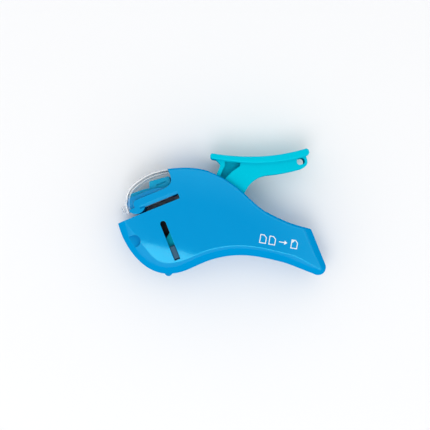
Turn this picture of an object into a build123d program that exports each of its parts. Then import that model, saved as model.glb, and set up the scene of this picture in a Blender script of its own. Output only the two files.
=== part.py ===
from build123d import *
import os
from math import cos, radians, sin, sqrt, tan

# Hand-held staple-free paper binder, lying on its back shell.
# +X is the way the paper goes in, +Y is the way the blades travel, +Z is out of the front shell.
# The origin is the lever's pivot axis where it meets the resting face. Everything is in millimetres.

# ---- driving dimensions ----
mid_z = 12.5            # parting plane of the two shells
crown = 13.0            # from the parting plane to the top of each domed face
wall = 1.8              # shell wall
mid_plane = Plane.XY.offset(mid_z)

# Domed face: a ring surface whose ridge runs from the jaws to the tail.
crown_x, crown_y = -8.0, -1.0
ridge_angle = -35.0
ridge_radius = 460.0
cross_radius = 160.0

# The band between the outline and the face grows with height by this power.
band_height = 11.0
band_power = 2.6

# Body outline on the parting plane: x, y and the width of the band there.
# Both runs go clockwise round the body, seen from the front shell.
belly_run = [
    (-44.4, 19.5, 3.5), (-44.8, 11.5, 5.0), (-43.9, 3.1, 6.0), (-40.4, -6.5, 5.8),
    (-34.4, -13.4, 5.1), (-24.5, -17.0, 4.4), (-12.0, -16.9, 3.6), (0.0, -18.4, 3.4),
    (13.0, -23.8, 3.7), (24.0, -31.2, 4.6), (31.0, -37.4, 5.7),
]
back_run = [
    (38.5, -17.6, 1.1), (31.3, -11.0, 1.0), (24.5, -2.5, 0.95), (19.9, 6.8, 0.95),
    (15.0, 15.5, 1.0), (5.7, 25.5, 1.05), (-3.2, 30.4, 1.1), (-10.9, 32.9, 1.2),
    (-20.2, 34.3, 1.5), (-28.3, 33.1, 1.7), (-34.2, 30.1, 1.7), (-37.4, 25.6, 1.7),
    (-38.4, 19.8, 1.6),
]
tail_x = 43.6
tail_band = 5.6
belly_end_angle = -43.5
back_end_angle = -37.0
edge_round = 1.0

# Throat between the jaws
throat_low = 17.0
throat_high = 19.5
throat_end = -11.0
jaw_tip_x = -38.9
jaw_wall = 1.5
plate_left, plate_right = -31.4, -14.0
plate_half_z = 6.6
plate_thickness = 1.0
ledge = 0.8
nose_x, nose_y, nose_radius = -32.2, 22.0, 4.5

# Blade carrier and its drive
carrier_x = -23.3
lever_angle = 30.0
arm_radius = 23.3
pin_y = -arm_radius * tan(radians(lever_angle / 2))
pin_radius = 1.25
pin_end_radius = 0.8
carrier_half_x = 8.6
carrier_half_z = 6.0
carrier_low, carrier_high = -10.4, 2.4
blade_tip = 16.2
blade_foot = -2.6
blade_gauge = 0.5
knife_gauge = 0.8

# Window of the front shell and the shoe that shows in it
window_width = 2.9
window_low, window_high = -10.5, 9.9
shoe_width = 2.4
shoe_low, shoe_high = -9.8, -3.6
shoe_out = 11.8

# Lever
pivot_radius = 2.0
bush_radius = 2.7
hub_radius = 4.6
hub_half_z = 8.5
arm_in, arm_out = 6.3, 8.5
web_half_z = 6.5
palm_half_z = 8.4
boss_z = 9.3
pivot_end = 11.0

# Shell screws, put in from the back
screw_places = [(29.0, -24.0), (-37.2, -3.2), (-4.6, 26.0)]
screw_radius = 1.2
screw_head_radius = 2.3
screw_head_height = 1.5
screw_seat = 6.0
screw_reach = 6.5
boss_radius = 2.9

# Small features of the shells
cover_wall = 1.5
pocket_y, pocket_radius, pocket_floor = 5.85, 3.0, 8.3
lever_way = [(7.4, 17.5), (7.4, 31.0), (33.0, 31.0), (33.0, -4.4), (21.0, -6.2), (11.0, 6.0)]
stop_place = (3.7, 17.3)
lip_wedge = [(19.4, 11.1), (22.65, 12.95), (19.4, 12.95)]

# Small features of the lever
arm_rest_angle = lever_angle / 2
arm_outline = [
    (0.0, 4.5), (-8.0, 4.5), (-21.6, 3.6), (-24.8, 1.2), (-27.6, -2.6), (-27.8, -7.2),
    (-26.0, -9.6), (-23.0, -9.6), (-8.0, -5.6), (0.0, -4.6),
]
recess_outline = [
    (16.4, 25.6), (15.7, 23.8), (13.2, 21.6), (11.2, 19.4), (12.2, 16.8), (13.9, 18.0), (17.9, 19.7),
    (22.4, 20.7), (23.2, 22.1),
]
spring_room = 5.2
spring_half_z = 3.5

# Return spring
wire_radius = 0.4
coil_radius = 3.6
coil_pitch = 1.15
coil_turns = 5
coil_half_z = coil_pitch * coil_turns / 2

# Blades, finger and their fastenings
cutter_back, cutter_front = -29.6, -21.2
cutter_half_z = 2.2
knife_x = -18.2
knife_half_z = 2.2
set_screws = [(-28.0, 0.0), (-17.8, 0.0)]
set_screw_radius = 0.9
finger_x, finger_y = -24.5, 0.6
finger_pin_radius = 0.8
finger_pin_half = 4.0
shoe_in = 8.8


# ---- the body form that both shells and the clear cover are cut from ----
def band_share(height):
    return (height / band_height) ** band_power


def inset_run(run, height, skin):
    """Moves each point of an outline run square to the run, towards the inside."""
    moved = []
    last = len(run) - 1
    for i, (x, y, band) in enumerate(run):
        before = run[max(i - 1, 0)]
        after = run[min(i + 1, last)]
        along = Vector(after[0] - before[0], after[1] - before[1]).normalized()
        distance = band * band_share(height) + skin
        moved.append((x - along.Y * distance, y + along.X * distance))
    return moved


def corner_at(point, angle, x):
    return (x, point[1] + (x - point[0]) * tan(radians(angle)))


def body_section(height, skin):
    belly = inset_run(belly_run, height, skin)
    back = inset_run(back_run, height, skin)
    end_x = tail_x - tail_band * band_share(height) - skin
    low_corner = corner_at(belly[-1], belly_end_angle, end_x)
    high_corner = corner_at(back[0], back_end_angle, end_x)
    belly_end = (cos(radians(belly_end_angle)), sin(radians(belly_end_angle)))
    back_start = (-cos(radians(back_end_angle)), -sin(radians(back_end_angle)))
    low_round = max(3.6 - tail_band * band_share(height) - skin, 0.4)
    high_round = max(1.6 - band_share(height) - skin, 0.4)
    with BuildSketch(mid_plane.offset(height)) as section:
        with BuildLine():
            Spline(*belly, tangents=[(0, -1), belly_end])
            Polyline(belly[-1], low_corner, high_corner, back[0])
            Spline(*back, tangents=[back_start, (0, -1)])
            Line(back[-1], belly[0])
        make_face()
        corners = section.vertices()
        low = corners.sort_by_distance((*low_corner, mid_z + height))[0]
        fillet(low, low_round)
        high = section.vertices().sort_by_distance((*high_corner, mid_z + height))[0]
        fillet(high, high_round)
    return section.sketch


def dome(skin):
    """A solid under the domed face, made by turning the cross arc along the ridge."""
    half_width = 72.0
    depth = 30.0
    turn = 30.0
    ridge = ridge_radius - skin
    cross = cross_radius - skin
    along = Vector(cos(radians(ridge_angle)), sin(radians(ridge_angle)))
    across = Vector(-along.Y, along.X)
    centre = Vector(crown_x, crown_y, mid_z + crown - ridge_radius)
    normal = along * cos(radians(turn / 2)) + Vector(0, 0, sin(radians(turn / 2)))
    sag = cross - sqrt(cross ** 2 - half_width ** 2)
    left, right = (-half_width, ridge - sag), (half_width, ridge - sag)
    with BuildPart() as under_dome:
        with BuildSketch(Plane(origin=centre, x_dir=across, z_dir=normal)):
            with BuildLine():
                ThreePointArc(left, (0, ridge), right)
                Polyline(right, (half_width, ridge - depth), (-half_width, ridge - depth), left)
            make_face()
        revolve(axis=Axis(centre, across), revolution_arc=turn)
    return under_dome.part


def half_form(skin, rounding=0.0):
    with BuildPart() as form:
        for height in (0.0, 5.5, 9.0, 13.4):
            add(body_section(height, skin))
        loft()
        add(dome(skin), mode=Mode.INTERSECT)
        if rounding:
            fillet(form.faces().sort_by(Axis.Z)[-1].edges(), rounding)
    return form.part


def prism(points, low, high):
    """A straight-sided block with the given outline, between two heights over the parting plane."""
    with BuildPart() as block:
        with BuildSketch(mid_plane.offset(low)):
            with BuildLine():
                Polyline(*points, close=True)
            make_face()
        extrude(amount=high - low)
    return block.part


def block_xy(left, right, bottom, top, low, high):
    return prism([(left, bottom), (right, bottom), (right, top), (left, top)], low, high)


outer_half = half_form(0.0, edge_round)
inner_half = half_form(wall)


def cover_region(gap, bottom):
    """The outline above and in front of the upper jaw's tongue, moved clear of the tongue by a gap."""
    tongue_left, tongue_top = -36.2 - gap, 26.4 + gap
    joint_x = -11.2 - gap
    corner = 1.2
    outside_left, outside_top = jaw_tip_x, 37.0
    with BuildSketch(mid_plane) as region:
        with BuildLine():
            post = Line((tongue_left, bottom), (tongue_left, tongue_top - corner))
            bend = RadiusArc(post @ 1, (tongue_left + corner, tongue_top), corner)
            top = Line(bend @ 1, (-24.5, tongue_top))
            dip = Spline(
                top @ 1, (-19.0, 25.7 + gap), (-15.0, 24.6 + gap), (-12.6 - gap, 25.6), (joint_x, 29.8),
                tangents=[(1, 0), (0.1, 1)],
            )
            Polyline(
                dip @ 1, (joint_x, outside_top), (outside_left, outside_top),
                (outside_left, bottom), post @ 0,
            )
        make_face()
    return region.sketch


def rebate_region(gap):
    """The band round the tongue's face that the cover's side walls lie on, as one outline."""
    face_left, face_top = -33.3 - gap, 24.2 + gap
    joint_x = -11.2 - gap
    corner = 1.8
    low_y = 20.9 + gap
    outside_left, outside_top = jaw_tip_x, 37.0
    with BuildSketch(mid_plane) as region:
        with BuildLine():
            foot = Polyline((outside_left, low_y), (face_left, low_y), (face_left, face_top - corner))
            bend = RadiusArc(foot @ 1, (face_left + corner, face_top), corner)
            top = Line(bend @ 1, (-17.0, face_top))
            rise = Spline(
                top @ 1, (-13.4 - gap, 25.2), (joint_x, 29.8), tangents=[(1, 0), (0.1, 1)],
            )
            Polyline(rise @ 1, (joint_x, outside_top), (outside_left, outside_top), foot @ 0)
        make_face()
    return region.sketch


# ---- what the two shells share, built on the front side of the parting plane ----
with BuildPart() as fitted_walls:
    # throat floor and ceiling, the wall at the throat's end and the post at the jaw's tip
    add(block_xy(-46, throat_end + jaw_wall, throat_low - 1.6, throat_low, 0, 14))
    add(block_xy(-36.2, throat_end + jaw_wall, throat_high, throat_high + 1.6, 0, 14))
    add(block_xy(throat_end, throat_end + jaw_wall, throat_low, throat_high, 0, 14))
    add(block_xy(-36.2, -34.6, throat_high, 26.4, 0, 14))
    # thick tongue that the rebate for the cover is cut in
    add(block_xy(-36.2, throat_end + jaw_wall, throat_high, 26.4, 8.6, 14))
    # backing of the finger pocket
    add(block_xy(-45, -35.0, 1.0, 10.7, 6.6, 14))
    # screw bosses from the parting plane up, and the pivot boss under the face
    with BuildSketch(mid_plane):
        with Locations(*screw_places):
            Circle(boss_radius)
    extrude(amount=14)
    with BuildSketch(mid_plane.offset(boss_z)):
        Circle(hub_radius)
    extrude(amount=14 - boss_z)
    add(outer_half, mode=Mode.INTERSECT)

with BuildPart() as fitted_nose:
    # rounded nose under the upper lip that limits how many sheets go in
    with BuildSketch(mid_plane.offset(plate_half_z)):
        with Locations((nose_x, nose_y)):
            Circle(nose_radius)
    extrude(amount=14 - plate_half_z)
    add(block_xy(-40, -24, throat_high + 1.5, 30, 0, 15), mode=Mode.SUBTRACT)
    add(outer_half, mode=Mode.INTERSECT)

with BuildPart() as rebate_cut:
    extrude(rebate_region(0.0), amount=15)
    add(half_form(cover_wall + 0.1), mode=Mode.SUBTRACT)

with BuildPart() as lip_cut:
    # wedge that runs along the lip, drawn across the throat
    with BuildSketch(Plane(origin=(-31.0, 0, mid_z), x_dir=(0, 1, 0), z_dir=(1, 0, 0))):
        with BuildLine():
            Polyline(*lip_wedge, close=True)
        make_face()
    extrude(amount=throat_end + 31.0)

with BuildPart() as half_shell:
    add(outer_half)
    add(inner_half, mode=Mode.SUBTRACT)
    add(fitted_walls.part)
    # throat, open at the mouth
    add(block_xy(-60, throat_end, throat_low, throat_high, -1, 15), mode=Mode.SUBTRACT)
    add(block_xy(-60, jaw_tip_x, throat_low, 40, -1, 15), mode=Mode.SUBTRACT)
    add(fitted_nose.part)
    # beds of the two steel plates, with a ledge under the throat plate
    add(
        block_xy(plate_left, plate_right, throat_low - plate_thickness, 18, -1, plate_half_z),
        mode=Mode.SUBTRACT,
    )
    add(
        block_xy(plate_left + ledge, plate_right - ledge, 14, throat_low, -1, plate_half_z - ledge),
        mode=Mode.SUBTRACT,
    )
    add(block_xy(plate_left, plate_right, 19, 22.5, -1, plate_half_z), mode=Mode.SUBTRACT)
    # room for the clear cover, and the rebate under its side walls
    extrude(cover_region(0.0, 19.0), amount=15, mode=Mode.SUBTRACT)
    add(rebate_cut.part, mode=Mode.SUBTRACT)
    # chamfer along the upper lip
    add(lip_cut.part, mode=Mode.SUBTRACT)
    # finger pocket, open to the front edge
    with BuildSketch(mid_plane.offset(pocket_floor)):
        with Locations((-39.5, pocket_y)):
            Circle(pocket_radius)
        with Locations((-44.5, pocket_y)):
            Rectangle(10.0, 2 * pocket_radius)
    extrude(amount=6.0, mode=Mode.SUBTRACT)
    # bed of the pivot pin
    with BuildSketch(mid_plane.offset(boss_z)):
        Circle(pivot_radius)
    extrude(amount=pivot_end - boss_z, mode=Mode.SUBTRACT)
    # the lever comes out here
    add(prism(lever_way, -1, 7.2), mode=Mode.SUBTRACT)
    # snap lug on the belly
    with BuildSketch(mid_plane):
        with Locations((-30.2, -14.8)):
            Circle(2.0)
    extrude(amount=2.2)

with BuildPart() as front_shell:
    add(half_shell.part)
    # window with a round top, which the front shoe shows in
    with BuildSketch(mid_plane.offset(8.0)):
        with Locations((carrier_x, (window_low + window_high) / 2)):
            SlotOverall(window_high - window_low, window_width, rotation=90)
        with Locations((carrier_x, window_low + window_width / 2)):
            Rectangle(window_width, window_width)
    extrude(amount=6.0, mode=Mode.SUBTRACT)
    # screw holes from the parting plane
    with BuildSketch(mid_plane):
        with Locations(*screw_places):
            Circle(screw_radius)
    extrude(amount=screw_reach, mode=Mode.SUBTRACT)

with BuildPart() as back_shell:
    mirror(half_shell.part, about=mid_plane)
    # flat face that the binder rests on
    with BuildSketch(Plane.XY):
        Rectangle(140, 140)
    extrude(amount=-3, mode=Mode.SUBTRACT)
    # screw ways, each with a seat for the head
    with BuildSketch(mid_plane):
        with Locations(*screw_places):
            Circle(screw_radius)
    extrude(amount=-14, mode=Mode.SUBTRACT)
    with BuildSketch(mid_plane.offset(-screw_seat)):
        with Locations(*screw_places):
            Circle(screw_head_radius)
    extrude(amount=-8, mode=Mode.SUBTRACT)


# ---- clear cover over the upper jaw, with a small grip rib at its lower end ----
cover_inside = half_form(cover_wall)
with BuildPart() as cover_room:
    # the arc wall takes the full depth, the side walls lap over the tongue's rebate
    extrude(cover_region(0.12, 19.7), amount=15)
    with BuildSketch(mid_plane.offset(9.2)):
        add(rebate_region(0.12))
    extrude(amount=6)

with BuildPart() as half_cover:
    add(outer_half)
    add(cover_inside, mode=Mode.SUBTRACT)
    add(cover_room.part, mode=Mode.INTERSECT)

with BuildPart() as clear_cover:
    add(half_cover.part)
    mirror(half_cover.part, about=mid_plane)
    with BuildSketch(mid_plane.offset(-3.5)):
        with Locations((-38.8, 22.4)):
            Rectangle(2.2, 2.8)
    extrude(amount=7.0)


# ---- fixed pieces inside the casing ----
def on_both_sides(points, half_depth):
    return prism(points, -half_depth, half_depth)


jaw_block_outline = [
    (-34.3, 21.3), (-34.3, 26.9), (-33.1, 28.1), (-26.8, 27.9), (-23.2, 27.4), (-22.0, 30.4),
    (-11.9, 29.2), (-12.3, 26.6), (-12.9, 25.0), (-12.9, 21.3),
]
blade_way_left, blade_way_right = -30.4, -16.4
with BuildPart() as jaw_block:
    add(on_both_sides(jaw_block_outline, 7.8))
    fillet(jaw_block.edges().filter_by(Axis.Z), 0.5)
    # plinth that presses the die plate into its bed
    add(block_xy(plate_left + 0.1, plate_right - 0.1, 20.4, 21.5, -6.4, 6.4))
    # way for the blades and for the paper chips
    add(block_xy(blade_way_left, blade_way_right, 20, 32, -3.1, 3.1), mode=Mode.SUBTRACT)
    # a groove on each face
    for low, high in ((6.9, 9.0), (-9.0, -6.9)):
        add(block_xy(-19.4, -14.4, 26.9, 27.7, low, high), mode=Mode.SUBTRACT)


def steel_plate(bottom):
    """A plate with one hole for the flap cutter and the finger, and one for the slit knife."""
    with BuildPart() as plate:
        add(block_xy(plate_left + 0.1, plate_right - 0.1, bottom, bottom + 1.0, -6.4, 6.4))
        add(block_xy(-30.0, -20.0, bottom - 1, bottom + 2, -2.7, 2.7), mode=Mode.SUBTRACT)
        add(block_xy(-18.7, -16.9, bottom - 1, bottom + 2, -2.9, 2.9), mode=Mode.SUBTRACT)
    return plate


die_plate = steel_plate(throat_high - 0.1)
throat_plate = steel_plate(throat_low - plate_thickness)

with BuildPart() as lever_pin:
    with BuildSketch(mid_plane):
        Circle(pivot_radius)
    extrude(amount=pivot_end - 0.1, both=True)
    chamfer(lever_pin.edges().filter_by(GeomType.CIRCLE), 0.3)

with BuildPart() as lever_stop:
    with BuildSketch(mid_plane):
        with Locations(stop_place):
            Circle(1.9)
    extrude(amount=6.0, both=True)
    fillet(lever_stop.edges().filter_by(GeomType.CIRCLE), 0.4)

with BuildPart() as shell_screws:
    seat = mid_plane.offset(-screw_seat)
    with BuildSketch(seat):
        with Locations(*screw_places):
            Circle(screw_radius)
    extrude(amount=screw_seat + screw_reach - 0.6)
    with BuildSketch(seat):
        with Locations(*screw_places):
            Circle(screw_head_radius - 0.2)
    extrude(amount=-screw_head_height)
    heads = shell_screws.edges().filter_by(GeomType.CIRCLE).group_by(Axis.Z)[0]
    fillet(heads, 0.5)
    with BuildSketch(seat.offset(-screw_head_height)):
        with Locations(*screw_places):
            Rectangle(2.4, 0.5)
            Rectangle(0.5, 2.4)
    extrude(amount=0.9, mode=Mode.SUBTRACT)


# ---- squeeze lever ----
with BuildPart() as lever:
    # curved palm plate
    with BuildSketch(mid_plane):
        with BuildLine():
            top = Spline(
                (12.0, 31.7), (19.6, 27.4), (28.7, 23.2), (38.1, 19.9), (48.0, 17.6), (56.0, 16.5),
            )
            tip = Polyline(top @ 1, (56.8, 15.5), (56.6, 14.0), (55.6, 13.1))
            bottom = Spline(
                tip @ 1, (46.9, 14.1), (37.1, 16.5), (27.7, 20.0), (18.8, 24.6), (11.3, 28.9),
            )
            ThreePointArc(bottom @ 1, (10.5, 30.5), top @ 0)
        make_face()
    extrude(amount=palm_half_z, both=True)
    palm_rim = lever.edges().filter_by(GeomType.BSPLINE)
    fillet(palm_rim, 0.8)
    # web between the palm plate and the hub
    with BuildSketch(mid_plane):
        with BuildLine():
            start = Polyline((-3.6, 2.9), (9.4, 20.6), (12.8, 23.9), (13.7, 25.4), (12.4, 28.6))
            plate_side = Spline(
                start @ 1, (18.8, 25.6), (27.7, 21.0), (37.1, 17.5), (46.9, 15.1), (54.5, 14.0),
            )
            eyelet = Spline(
                plate_side @ 1, (54.4, 11.2), (53.6, 9.2), (51.6, 8.2), (49.0, 8.2),
                tangents=[(0.05, -1), (-1, 0.12)],
            )
            under = Spline(
                eyelet @ 1, (42.0, 9.3), (37.0, 10.4), (30.5, 11.9), (24.5, 10.8), (19.4, 7.4),
                (14.5, 2.0),
            )
            Polyline(under @ 1, (4.4, -1.6), (-3.6, 2.9))
        make_face()
    extrude(amount=web_half_z, both=True)
    # hub
    with BuildSketch(mid_plane):
        Circle(hub_radius)
    extrude(amount=hub_half_z, both=True)
    # two arms that drive the cross pin
    for low, high in ((arm_in, arm_out), (-arm_out, -arm_in)):
        add(prism(arm_outline, low, high))
    # slots that the cross pin slides in
    with BuildSketch(mid_plane):
        with Locations(Location((carrier_x, pin_y, 0), (0, 0, arm_rest_angle))):
            SlotCenterToCenter(2.2, 2 * (pin_radius + 0.13))
    extrude(amount=10, both=True, mode=Mode.SUBTRACT)
    # three-sided recess on each face, which leaves a rib in the middle
    for low, high in ((1.2, 8.0), (-8.0, -1.2)):
        add(prism(recess_outline, low, high), mode=Mode.SUBTRACT)
    # strap eyelet
    with BuildSketch(mid_plane):
        with Locations((51.2, 11.6)):
            RectangleRounded(3.9, 3.1, 1.3, rotation=-8)
    extrude(amount=10, both=True, mode=Mode.SUBTRACT)
    # bore, and room for the spring round it
    with BuildSketch(mid_plane):
        Circle(bush_radius)
    extrude(amount=10, both=True, mode=Mode.SUBTRACT)
    with BuildSketch(mid_plane):
        Circle(spring_room)
        with Locations(Location((5.0, 6.8, 0), (0, 0, 53.8))):
            Rectangle(9.0, 2.6)
    extrude(amount=spring_half_z + 0.3, both=True, mode=Mode.SUBTRACT)

with BuildPart() as lever_bushes:
    for side in (1, -1):
        inner_end = mid_plane.offset(side * (spring_half_z + 0.3))
        with BuildSketch(inner_end):
            Circle(bush_radius)
        extrude(amount=side * (boss_z - 0.2 - spring_half_z - 0.3))
        with BuildSketch(mid_plane.offset(side * hub_half_z)):
            Circle(hub_radius - 0.6)
        extrude(amount=side * (boss_z - 0.2 - hub_half_z))
    with BuildSketch(mid_plane):
        Circle(pivot_radius + 0.03)
    extrude(amount=12, both=True, mode=Mode.SUBTRACT)


# ---- return spring of the lever: a coil round the pin with two straight legs ----
with BuildPart() as lever_spring:
    with BuildLine() as coil:
        Helix(coil_pitch, coil_turns * coil_pitch, coil_radius, center=(0, 0, mid_z - coil_half_z))
    with BuildSketch(Plane(origin=coil.line @ 0, z_dir=coil.line % 0)):
        Circle(wire_radius)
    sweep(path=coil.wire(), is_frenet=True)
    for height, length in ((-coil_half_z, -17.2), (coil_half_z, 5.6)):
        with BuildSketch(Plane(origin=(coil_radius, 0, mid_z + height), z_dir=(0, 1, 0))):
            Circle(wire_radius)
        extrude(amount=length)


# ---- blade carrier and what it carries ----
def across_both(x, y, radius, half_length):
    """A round bar along Z, centred on the parting plane."""
    with BuildPart() as bar:
        with BuildSketch(mid_plane):
            with Locations((x, y)):
                Circle(radius)
        extrude(amount=half_length, both=True)
    return bar.part


carrier_left = carrier_x - carrier_half_x
carrier_right = carrier_x + carrier_half_x

# U-shaped cutter, open towards the throat's end, with its top edge raked
with BuildPart() as flap_cutter:
    add(block_xy(cutter_back, cutter_front, blade_foot, blade_tip, -cutter_half_z, cutter_half_z))
    add(
        block_xy(
            cutter_back + blade_gauge, cutter_front + 1, blade_foot - 1, blade_tip + 1,
            blade_gauge - cutter_half_z, cutter_half_z - blade_gauge,
        ),
        mode=Mode.SUBTRACT,
    )
    rake = [
        (cutter_back + 0.3, blade_tip), (cutter_front + 1, blade_tip - 2.4),
        (cutter_front + 1, blade_tip + 1), (cutter_back + 0.3, blade_tip + 1),
    ]
    add(on_both_sides(rake, 5), mode=Mode.SUBTRACT)
    add(across_both(finger_x, finger_y, finger_pin_radius, 5), mode=Mode.SUBTRACT)

# flat pointed knife with an eye that draws the paper tongue back through the slit
with BuildPart() as slit_knife:
    with BuildSketch(Plane(origin=(knife_x, 0, mid_z), x_dir=(0, 0, 1), z_dir=(1, 0, 0))):
        with BuildLine():
            Polyline(
                (-knife_half_z, -blade_foot), (knife_half_z, -blade_foot), (knife_half_z, -14.0),
                (0, -blade_tip), (-knife_half_z, -14.0), close=True,
            )
        make_face()
        with Locations((0, -12.0)):
            Rectangle(3.4, 2.6, mode=Mode.SUBTRACT)
    extrude(amount=knife_gauge)

with BuildPart() as blade_carrier:
    add(
        block_xy(
            carrier_left, carrier_right, carrier_low, carrier_high, -carrier_half_z, carrier_half_z
        ),
    )
    fillet(blade_carrier.edges().filter_by(Axis.Z), 1.2)
    # seats of the blades
    add(flap_cutter.part, mode=Mode.SUBTRACT)
    add(
        block_xy(
            knife_x, knife_x + knife_gauge, blade_foot, carrier_high + 1, -knife_half_z, knife_half_z
        ),
        mode=Mode.SUBTRACT,
    )
    # pocket that the finger swings in
    add(block_xy(-27.2, -19.4, -2.4, carrier_high + 1, -1.6, 1.6), mode=Mode.SUBTRACT)
    # holes of the cross pin, the finger pin and the set screws
    add(across_both(carrier_x, pin_y, pin_radius, 10), mode=Mode.SUBTRACT)
    add(across_both(finger_x, finger_y, finger_pin_radius, finger_pin_half), mode=Mode.SUBTRACT)
    with BuildSketch(mid_plane.offset(carrier_half_z)):
        with Locations(*set_screws):
            Circle(set_screw_radius)
    extrude(amount=-(carrier_half_z - cutter_half_z), mode=Mode.SUBTRACT)
    # hollow that lightens the underside
    add(block_xy(-30.3, -26.2, carrier_low - 1, -4.0, -4.4, 4.4), mode=Mode.SUBTRACT)
    add(block_xy(-20.4, -16.3, carrier_low - 1, -4.0, -4.4, 4.4), mode=Mode.SUBTRACT)

with BuildPart() as blade_screws:
    with BuildSketch(mid_plane.offset(cutter_half_z)):
        with Locations(*set_screws):
            Circle(set_screw_radius)
    extrude(amount=carrier_half_z - cutter_half_z - 0.2)
    with BuildSketch(mid_plane.offset(carrier_half_z - 0.2)):
        with Locations(*set_screws):
            RegularPolygon(0.55, 6)
    extrude(amount=-1.2, mode=Mode.SUBTRACT)

with BuildPart() as cross_pin:
    add(across_both(carrier_x, pin_y, pin_radius, shoe_in - 0.1))
    add(across_both(carrier_x, pin_y, pin_end_radius, shoe_in + 1.6))

with BuildPart() as finger_pin:
    add(across_both(finger_x, finger_y, finger_pin_radius, finger_pin_half))

with BuildPart() as guide_shoes:
    for side in (1, -1):
        # flange that slides along the shell's inner face
        with BuildSketch(mid_plane.offset(side * shoe_in)):
            with Locations((carrier_x, (shoe_low + shoe_high) / 2)):
                RectangleRounded(4.6, shoe_high - shoe_low + 0.6, 0.8)
        extrude(amount=side * 1.2)
    # block that runs in the front window
    with BuildSketch(mid_plane.offset(shoe_in)):
        with Locations((carrier_x, (shoe_low + shoe_high) / 2)):
            RectangleRounded(shoe_width, shoe_high - shoe_low, 0.4)
    extrude(amount=shoe_out - shoe_in)
    add(across_both(carrier_x, pin_y, pin_end_radius, shoe_in + 1.6), mode=Mode.SUBTRACT)

# finger that folds the cut tongue of paper into the knife's eye
with BuildPart() as folding_finger:
    with BuildSketch(mid_plane):
        with Locations((finger_x, finger_y)):
            Circle(1.7)
        with BuildLine():
            Polyline(
                (finger_x - 0.8, finger_y), (finger_x + 0.8, finger_y), (finger_x + 0.8, 13.2),
                (finger_x + 0.3, 15.0), (finger_x - 0.5, 15.0), (finger_x - 0.8, 14.2), close=True,
            )
        make_face()
        with Locations((finger_x, finger_y)):
            Circle(finger_pin_radius + 0.04, mode=Mode.SUBTRACT)
    extrude(amount=1.2, both=True)

# thin leaf that holds the finger upright
with BuildPart() as finger_spring:
    with BuildSketch(mid_plane):
        with BuildLine():
            leaf = Polyline((-27.05, -2.2), (-27.05, 1.8), (-25.9, 5.0), (-25.55, 8.4))
            offset(leaf, amount=0.12, side=Side.BOTH)
        make_face()
    extrude(amount=0.9, both=True)

parts = {
    "front_shell": front_shell,
    "back_shell": back_shell,
    "clear_cover": clear_cover,
    "jaw_block": jaw_block,
    "die_plate": die_plate,
    "throat_plate": throat_plate,
    "lever_pin": lever_pin,
    "lever_stop": lever_stop,
    "shell_screws": shell_screws,
    "lever": lever,
    "lever_bushes": lever_bushes,
    "lever_spring": lever_spring,
    "blade_carrier": blade_carrier,
    "flap_cutter": flap_cutter,
    "slit_knife": slit_knife,
    "blade_screws": blade_screws,
    "cross_pin": cross_pin,
    "guide_shoes": guide_shoes,
    "finger_pin": finger_pin,
    "folding_finger": folding_finger,
    "finger_spring": finger_spring,
}

os.makedirs("parts", exist_ok=True)
for name, made in parts.items():
    made.part.label = name
    export_step(made.part, f"parts/{name}.step")
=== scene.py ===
import math

import bmesh
import bpy
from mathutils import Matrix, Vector
from mathutils.bvhtree import BVHTree


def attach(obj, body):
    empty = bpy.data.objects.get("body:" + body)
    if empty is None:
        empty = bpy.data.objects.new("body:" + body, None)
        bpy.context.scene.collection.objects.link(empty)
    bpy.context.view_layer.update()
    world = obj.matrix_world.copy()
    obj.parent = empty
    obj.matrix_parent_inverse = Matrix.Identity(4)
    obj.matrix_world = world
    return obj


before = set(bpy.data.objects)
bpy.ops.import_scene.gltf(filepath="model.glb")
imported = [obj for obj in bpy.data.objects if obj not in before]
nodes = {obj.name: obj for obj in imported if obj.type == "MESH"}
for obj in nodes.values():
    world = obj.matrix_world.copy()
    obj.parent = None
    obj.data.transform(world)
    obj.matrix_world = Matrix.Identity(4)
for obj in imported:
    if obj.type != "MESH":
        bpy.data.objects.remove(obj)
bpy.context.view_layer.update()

SCENE = bpy.context.scene
SCENE.view_settings.view_transform = "Standard"

# ---- camera: straight down on the front shell, turned a little about its own axis ----
VIEW_TURN = math.radians(-22.0)
VIEW_WIDTH = 0.215
LENS, SENSOR = 100.0, 36.0
PARTING_HEIGHT = 0.0125
AIM = Vector((0.0019, 0.0029, PARTING_HEIGHT))

# ---- studio ----
ROOM_COLOUR = (0.98, 0.985, 1.0, 1)
ROOM_STRENGTH, OVERHEAD_STRENGTH = 1.03, 0.22
# heights on the unit sphere between which the room fades to its overhead strength
FADE_START, FADE_END = 0.91, 0.985
KEY_DIRECTION = (-0.243, -0.346, 0.906)
KEY_DISTANCE = 1.5
KEY_SIZE = (0.83, 0.73)
KEY_POWER = 6.0
KEY_COLOUR = (1.0, 0.985, 0.965)
FLOOR_SIZE = 4.0


def add_camera():
    data = bpy.data.cameras.new("camera")
    data.lens = LENS
    data.sensor_width = SENSOR
    camera = bpy.data.objects.new("camera", data)
    SCENE.collection.objects.link(camera)
    camera.location = AIM + Vector((0, 0, VIEW_WIDTH * LENS / SENSOR))
    camera.rotation_euler = (0, 0, VIEW_TURN)
    SCENE.camera = camera


def add_softbox(name, direction, distance, size, power, colour):
    data = bpy.data.lights.new(name, "AREA")
    data.shape = "RECTANGLE"
    data.size, data.size_y = size
    data.energy = power
    data.color = colour
    lamp = bpy.data.objects.new(name, data)
    SCENE.collection.objects.link(lamp)
    toward = Vector(direction).normalized()
    lamp.location = toward * distance
    lamp.rotation_euler = toward.to_track_quat("Z", "Y").to_euler()


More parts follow.
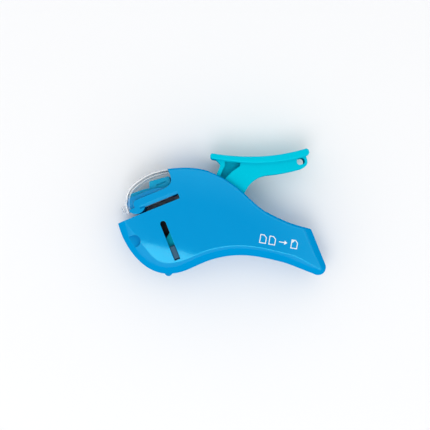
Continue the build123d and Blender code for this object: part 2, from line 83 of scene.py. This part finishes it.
def add_studio():
    """A pale room that is dimmer straight overhead, and one large softbox above the belly side."""
    world = bpy.data.worlds.new("studio")
    SCENE.world = world
    world.use_nodes = True
    tree = world.node_tree
    background = tree.nodes["Background"]
    background.inputs["Color"].default_value = ROOM_COLOUR
    direction = tree.nodes.new("ShaderNodeTexCoord")
    height = tree.nodes.new("ShaderNodeSeparateXYZ")
    strength = tree.nodes.new("ShaderNodeMapRange")
    limits = {
        "From Min": FADE_START,
        "From Max": FADE_END,
        "To Min": ROOM_STRENGTH,
        "To Max": OVERHEAD_STRENGTH,
    }
    for key, number in limits.items():
        strength.inputs[key].default_value = number
    tree.links.new(direction.outputs["Generated"], height.inputs["Vector"])
    tree.links.new(height.outputs["Z"], strength.inputs["Value"])
    tree.links.new(strength.outputs["Result"], background.inputs["Strength"])
    add_softbox("key_softbox", KEY_DIRECTION, KEY_DISTANCE, KEY_SIZE, KEY_POWER, KEY_COLOUR)


def add_floor():
    bpy.ops.mesh.primitive_plane_add(size=FLOOR_SIZE, location=(0, 0, 0))
    floor = bpy.context.object
    floor.name = "floor"
    floor.data.materials.append(paper_floor())


# ---- materials ----
# a Mix node's sockets for colours
MIX_A, MIX_B, MIX_RESULT = 6, 7, 2


class Shader:
    """A Principled material with a few helpers for procedural detail in object space."""

    def __init__(self, name, **values):
        self.material = bpy.data.materials.new(name)
        self.material.use_nodes = True
        self.tree = self.material.node_tree
        self.main = self.tree.nodes["Principled BSDF"]
        self.place = self.node("ShaderNodeTexCoord")
        for socket, value in values.items():
            self.main.inputs[socket].default_value = value

    def node(self, kind, **values):
        made = self.tree.nodes.new(kind)
        for key, value in values.items():
            setattr(made, key, value)
        return made

    def link(self, out, into):
        self.tree.links.new(out, into)

    def noise(self, scale, detail=3.0, roughness=0.5, stretch=(1, 1, 1)):
        mapping = self.node("ShaderNodeMapping")
        mapping.inputs["Scale"].default_value = stretch
        self.link(self.place.outputs["Object"], mapping.inputs["Vector"])
        noise = self.node("ShaderNodeTexNoise")
        noise.inputs["Scale"].default_value = scale
        noise.inputs["Detail"].default_value = detail
        noise.inputs["Roughness"].default_value = roughness
        self.link(mapping.outputs["Vector"], noise.inputs["Vector"])
        return noise.outputs["Fac"]

    def ramp(self, value, low, high, start, end):
        """Maps value from low..high onto start..end."""
        ranged = self.node("ShaderNodeMapRange")
        for key, number in (("From Min", low), ("From Max", high), ("To Min", start), ("To Max", end)):
            ranged.inputs[key].default_value = number
        self.link(value, ranged.inputs["Value"])
        return ranged.outputs["Result"]

    def mix(self, factor, first, second):
        """Blends two colours; each is a colour or another node's output."""
        blend = self.node("ShaderNodeMix", data_type="RGBA")
        for socket, value in ((blend.inputs[MIX_A], first), (blend.inputs[MIX_B], second)):
            if isinstance(value, bpy.types.NodeSocket):
                self.link(value, socket)
            else:
                socket.default_value = (*value, 1)
        self.link(factor, blend.inputs["Factor"])
        return blend.outputs[MIX_RESULT]

    def times(self, value, number):
        product = self.node("ShaderNodeMath", operation="MULTIPLY")
        product.inputs[1].default_value = number
        self.link(value, product.inputs[0])
        return product.outputs["Value"]

    def corners(self, radius):
        """How far the normal turns within a radius: 0 on flat faces, more along outer corners."""
        soft = self.node("ShaderNodeBevel", samples=6)
        soft.inputs["Radius"].default_value = radius
        flat = self.node("ShaderNodeNewGeometry")
        alike = self.node("ShaderNodeVectorMath", operation="DOT_PRODUCT")
        self.link(soft.outputs["Normal"], alike.inputs[0])
        self.link(flat.outputs["Normal"], alike.inputs[1])
        turn = self.node("ShaderNodeMath", operation="SUBTRACT")
        turn.inputs[0].default_value = 1.0
        self.link(alike.outputs["Value"], turn.inputs[1])
        return turn.outputs["Value"]

    def parting_line(self, half_width):
        """1 on the thin line where the two shells meet, 0 elsewhere."""
        height = self.node("ShaderNodeSeparateXYZ")
        self.link(self.place.outputs["Object"], height.inputs["Vector"])
        line = self.node("ShaderNodeMath", operation="COMPARE")
        line.inputs[1].default_value = PARTING_HEIGHT
        line.inputs[2].default_value = half_width
        self.link(height.outputs["Z"], line.inputs[0])
        return line.outputs["Value"]

    def colour(self, output):
        self.link(output, self.main.inputs["Base Color"])

    def roughness(self, output):
        self.link(output, self.main.inputs["Roughness"])

    def bump(self, height, strength, distance, edge=0.0):
        """Fine relief, over corners that are softened by the given radius."""
        bump = self.node("ShaderNodeBump")
        bump.inputs["Strength"].default_value = strength
        bump.inputs["Distance"].default_value = distance
        self.link(height, bump.inputs["Height"])
        if edge:
            soft = self.node("ShaderNodeBevel", samples=6)
            soft.inputs["Radius"].default_value = edge
            self.link(soft.outputs["Normal"], bump.inputs["Normal"])
        self.link(bump.outputs["Normal"], self.main.inputs["Normal"])

    def facing(self, blend=0.5):
        weight = self.node("ShaderNodeLayerWeight")
        weight.inputs["Blend"].default_value = blend
        return weight.outputs["Facing"]


def moulded_plastic(
    name, colour, shade, rough, peel=0.04, gloss=0.3, coat=0.0, tint=(1, 1, 1), seam=False,
):
    """Moulded plastic: flow marks in its colour, paler corners that are partly wear and partly a
    painted highlight, fine texture and scuffs.
    """
    s = Shader(name, **{"Specular Tint": (*tint, 1), "Coat Roughness": 0.05})
    flow = s.noise(38.0, 4.0, 0.55, (1.0, 0.35, 1.0))
    body = s.mix(s.ramp(flow, 0.3, 0.7, 0.0, 1.0), colour, shade)
    # paler colour along outer corners: partly wear, partly a painted highlight standing in for the
    # light lines that edges catch
    wear_and_painted_edge_highlight = s.ramp(s.corners(0.0004), 0.05, 0.3, 0.0, 0.55)
    body = s.mix(wear_and_painted_edge_highlight, body, [0.7 * value + 0.2 * min(1.0, 3 * value) for value in colour])
    if seam:
        body = s.mix(s.parting_line(0.00012), body, [0.25 * value for value in colour])
    s.colour(body)
    fade = s.ramp(s.facing(), 0.10, 0.40, 1.0, 0.0)
    s.link(s.times(fade, gloss), s.main.inputs["Specular IOR Level"])
    s.link(s.times(fade, coat), s.main.inputs["Coat Weight"])
    scuffs = s.noise(700.0, 5.0, 0.65, (1.0, 0.25, 1.0))
    s.roughness(s.ramp(scuffs, 0.35, 0.8, rough, rough + 0.06))
    s.bump(s.noise(9000.0, 2.0, 0.5), peel, 0.00005, 0.0003)
    return s.material


def metal(name, colour, shade, rough, stretch):
    """Ground or drawn metal with a directional grain and a few darker stains."""
    s = Shader(name, **{"Metallic": 1.0})
    stains = s.noise(600.0, 4.0, 0.6)
    s.colour(s.mix(s.ramp(stains, 0.4, 0.75, 0.0, 1.0), colour, shade))
    grain = s.noise(2600.0, 3.0, 0.6, stretch)
    s.roughness(s.ramp(grain, 0.3, 0.7, rough, rough + 0.2))
    s.bump(grain, 0.12, 0.00003)
    return s.material


def clear_plastic(name):
    """Clear moulded plastic: faintly hazy through its depth, with brighter edges and scratches."""
    s = Shader(
        name,
        **{
            "Base Color": (1.0, 1.0, 1.0, 1),
            "Subsurface Weight": 1.0,
            "Subsurface Radius": (1.0, 1.0, 1.0),
            "Subsurface Scale": 0.003,
            "Specular IOR Level": 0.5,
            "Coat Weight": 0.3,
            "Coat Roughness": 0.03,
        },
    )
    edge = s.ramp(s.facing(0.42), 0.25, 0.7, 0.0, 0.9)
    s.link(edge, s.main.inputs["Alpha"])
    haze = s.node("ShaderNodeVolumeScatter")
    haze.inputs["Color"].default_value = (1.0, 1.0, 1.0, 1)
    haze.inputs["Density"].default_value = 22.0
    s.link(haze.outputs["Volume"], s.tree.nodes["Material Output"].inputs["Volume"])
    scratches = s.noise(900.0, 5.0, 0.7, (1.0, 0.05, 1.0))
    s.roughness(s.ramp(scratches, 0.55, 0.8, 0.03, 0.18))
    s.bump(s.noise(260.0, 2.0, 0.5), 0.05, 0.0001)
    return s.material


def paper_floor():
    s = Shader("floor_paper", **{"Roughness": 0.85})
    s.colour(s.mix(s.noise(14.0, 3.0), (0.845, 0.85, 0.855), (0.855, 0.86, 0.865)))
    return s.material


BLUE_SHEEN = (0.06, 0.85, 0.95)


def make_materials():
    blue = moulded_plastic(
        "shell_blue", (0.0, 0.288, 0.630), (0.0, 0.273, 0.610), 0.07,
        gloss=1.0, coat=0.25, tint=BLUE_SHEEN, seam=True,
    )
    block = moulded_plastic(
        "block_teal", (0.0, 0.36, 0.60), (0.0, 0.33, 0.56), 0.3, peel=0.08, gloss=0.2, tint=BLUE_SHEEN
    )
    turquoise = moulded_plastic(
        "lever_turquoise", (0.0, 0.52, 0.67), (0.0, 0.50, 0.65), 0.24,
        peel=0.08, gloss=0.35, tint=BLUE_SHEEN,
    )
    black = moulded_plastic("carrier_black", (0.012, 0.013, 0.015), (0.02, 0.02, 0.022), 0.4)
    steel = metal("ground_steel", (0.52, 0.52, 0.50), (0.30, 0.29, 0.27), 0.26, (1, 0.05, 1))
    wire = metal("spring_wire", (0.42, 0.42, 0.43), (0.22, 0.22, 0.23), 0.22, (0.1, 1, 1))
    zinc = metal("zinc_steel", (0.70, 0.69, 0.66), (0.45, 0.44, 0.40), 0.18, (1, 1, 0.2))
    blade = metal("coated_blade", (0.035, 0.037, 0.04), (0.02, 0.02, 0.022), 0.3, (1, 0.04, 1))
    return {
        "front_shell": blue,
        "back_shell": blue,
        "clear_cover": clear_plastic("clear_plastic"),
        "jaw_block": block,
        "die_plate": steel,
        "throat_plate": steel,
        "lever_pin": steel,
        "cross_pin": steel,
        "finger_pin": steel,
        "lever_stop": moulded_plastic("rubber", (0.025, 0.025, 0.027), (0.04, 0.04, 0.04), 0.62, 0.2),
        "shell_screws": zinc,
        "blade_screws": zinc,
        "lever": turquoise,
        "lever_bushes": moulded_plastic("white_acetal", (0.8, 0.8, 0.78), (0.72, 0.72, 0.7), 0.4),
        "lever_spring": wire,
        "finger_spring": wire,
        "blade_carrier": black,
        "flap_cutter": blade,
        "slit_knife": blade,
        "guide_shoes": moulded_plastic("shoe_grey", (0.03, 0.11, 0.18), (0.025, 0.09, 0.15), 0.35),
        "folding_finger": moulded_plastic("finger_teal", (0.0, 0.22, 0.28), (0.0, 0.2, 0.25), 0.4),
    }


def finish_cad_nodes():
    for name, material in make_materials().items():
        mesh = nodes[name].data
        mesh.materials.clear()
        mesh.materials.append(material)


# ---- printed mark on the tail: loose pages, an arrow and a bound page, as plain pictograms ----
MARK_START = Vector((0.0194, -0.0168))
MARK_TURN = math.radians(-32.0)
PAGE_PLACES = (0.0, 0.0046, 0.0156)
ARROW_PLACE = 0.0100
PAGE_WIDTH, PAGE_HEIGHT, PAGE_CUT = 0.0034, 0.0044, 0.0013
PAGE_FOLD = ((-0.0012, 0.0004), (0.0, 0.0017), (-0.0012, 0.0017))
INK_WIDTH = 0.00045
INK_LIFT = 0.00002
INK_DEPTH = 0.00005


def page_outline(inset):
    """The page's corners, anticlockwise, with the upper right one cut off."""
    x, y = PAGE_WIDTH / 2 - inset, PAGE_HEIGHT / 2 - inset
    cut = PAGE_CUT - inset * (2 - math.sqrt(2))
    return [Vector(p) for p in ((-x, -y), (x, -y), (x, y - cut), (x - cut, y), (-x, y))]


def add_ring(mesh, place, outer, inner):
    """A thin closed ring of ink between two outlines with the same number of corners."""
    levels = ((outer, -INK_DEPTH), (outer, INK_LIFT), (inner, INK_LIFT), (inner, -INK_DEPTH))
    rings = [[mesh.verts.new(place(p, lift)) for p in ring] for ring, lift in levels]
    count = len(outer)
    for low, high in zip(rings, rings[1:] + rings[:1]):
        for j in range(count):
            k = (j + 1) % count
            mesh.faces.new((low[j], low[k], high[k], high[j]))


def add_patch(mesh, place, corners):
    """A thin closed patch of ink with the given corners, anticlockwise."""
    low = [mesh.verts.new(place(p, -INK_DEPTH)) for p in corners]
    high = [mesh.verts.new(place(p, INK_LIFT)) for p in corners]
    mesh.faces.new(high)
    mesh.faces.new(low[::-1])
    count = len(corners)
    for j in range(count):
        k = (j + 1) % count
        mesh.faces.new((low[j], low[k], high[k], high[j]))


def arrow_patches(x):
    """The arrow's shaft and its head, centred on x."""
    half = INK_WIDTH / 2
    shaft = ((-0.0021, -half), (0.0006, -half), (0.0006, half), (-0.0021, half))
    head = ((0.0006, -0.0011), (0.0021, 0.0), (0.0006, 0.0011))
    return [[Vector((x, 0)) + Vector(p) for p in corners] for corners in (shaft, head)]


def add_print():
    surface = BVHTree.FromObject(nodes["front_shell"], bpy.context.evaluated_depsgraph_get())
    along = Vector((math.cos(MARK_TURN), math.sin(MARK_TURN)))
    up = Vector((-along.y, along.x))

    def on_shell(point, lift):
        spot = MARK_START + along * point.x + up * point.y
        hit = surface.ray_cast(Vector((spot.x, spot.y, 0.05)), Vector((0, 0, -1)))[0]
        return Vector((spot.x, spot.y, hit.z + lift))

    mesh = bmesh.new()
    for x in PAGE_PLACES:
        outer, inner = ([Vector((x, 0)) + p for p in page_outline(i)] for i in (0.0, INK_WIDTH))
        add_ring(mesh, on_shell, outer, inner)
    for corners in arrow_patches(ARROW_PLACE):
        add_patch(mesh, on_shell, corners)
    # the bound page's corner fold
    fold = [Vector((PAGE_PLACES[-1] + x, y)) for x, y in PAGE_FOLD]
    add_patch(mesh, on_shell, fold)
    bmesh.ops.recalc_face_normals(mesh, faces=mesh.faces)
    data = bpy.data.meshes.new("printed_mark")
    mesh.to_mesh(data)
    mesh.free()
    mark = bpy.data.objects.new("printed_mark", data)
    SCENE.collection.objects.link(mark)
    data.materials.append(moulded_plastic("white_ink", (0.86, 0.9, 0.94), (0.8, 0.85, 0.9), 0.35))
    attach(mark, "casing")


add_camera()
add_studio()
add_floor()
finish_cad_nodes()
add_print()
